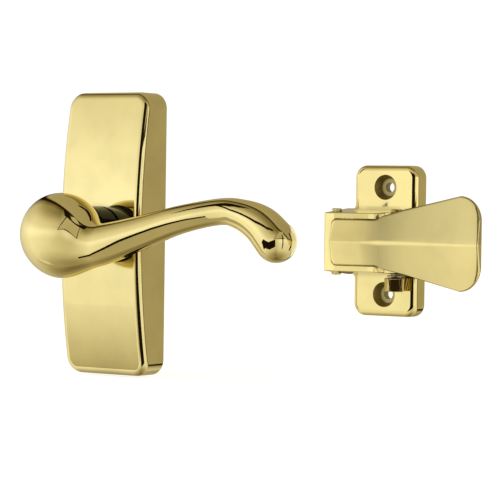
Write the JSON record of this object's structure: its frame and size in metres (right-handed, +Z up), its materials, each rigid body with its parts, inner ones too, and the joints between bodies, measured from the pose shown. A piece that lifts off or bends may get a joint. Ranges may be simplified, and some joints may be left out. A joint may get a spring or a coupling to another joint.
{
  "type": "storm door lever latch set",
  "caption": "Storm-door lever latch in two halves: a wave-shaped lever on an arched escutcheon, and an inside latch with a fan-shaped pull paddle and lock knob.",
  "frame": {"origin": "the lever's spindle axis in the door face behind the outside half", "axes": "+Z up along the escutcheon, +Y into the door along the spindle, +X from the outside half towards the inside half shown beside it"},
  "size_m": [0.2144, 0.0948, 0.1256],
  "materials": {
    "outside_brass": "polished, lacquered",
    "lever_brass": "polished, lacquered",
    "inside_brass": "polished, lacquered",
    "paddle_brass": "satin polished, lacquered",
    "pin_brass": "plated",
    "knob_brass": "plated, ribbed",
    "zinc_steel": "zinc plated",
    "black_steel": "black oxide",
    "spring_wire": "oiled spring steel",
    "nylon": "natural nylon",
    "black_plastic": "glossy black"
  },
  "bodies": {
    "root": {"outside_escutcheon": "outside_brass", "lever_bushing": "nylon", "lever_return_spring": "spring_wire", "spring_cover": "zinc_steel", "cover_screw_left": "zinc_steel", "cover_screw_right": "zinc_steel", "mounting_post_upper": "zinc_steel", "mounting_post_lower": "zinc_steel", "inside_base": "inside_brass", "pivot_pin": "pin_brass", "paddle_spring": "spring_wire", "hub_retainer": "zinc_steel", "retainer_screw_upper": "zinc_steel", "retainer_screw_lower": "zinc_steel", "lock_spring_washer": "spring_wire"},
    "lever": {"lever_handle": "lever_brass", "neck_sleeve": "black_plastic", "spindle": "zinc_steel", "spindle_set_screw": "black_steel", "spring_driver": "zinc_steel", "retaining_ring": "black_steel"},
    "paddle": {"inside_paddle": "paddle_brass"},
    "hub": {"spindle_hub": "zinc_steel"},
    "lock": {"lock_knob": "knob_brass"}
  },
  "joints": [
    {"name": "lever_turn", "type": "hinge", "parent": "root", "child": "lever", "pos_m": [0, 0, 0], "axis": [0, 1, 0], "range_deg": [-40, 40], "stiffness_Nm_per_rad": 0.6, "deforming": ["lever_return_spring"]},
    {"name": "paddle_pull", "type": "hinge", "parent": "root", "child": "paddle", "pos_m": [0.1189, -0.014, 0], "axis": [0, 0, -1], "range_deg": [0, 16], "stiffness_Nm_per_rad": 0.3, "springref_deg": -17.19, "deforming": ["paddle_spring"]},
    {"name": "hub_turn", "type": "hinge", "parent": "root", "child": "hub", "pos_m": [0.1383, 0, 0], "axis": [0, 1, 0], "range_deg": [0, 41]},
    {"name": "lock_turn", "type": "hinge", "parent": "root", "child": "lock", "pos_m": [0.147, -0.0135, 0], "axis": [0, 0, 1], "range_deg": [0, 90]}
  ],
  "couplings": [
    {"joint": "hub_turn", "follows": "paddle_pull", "ratio": 2.5}
  ]
}
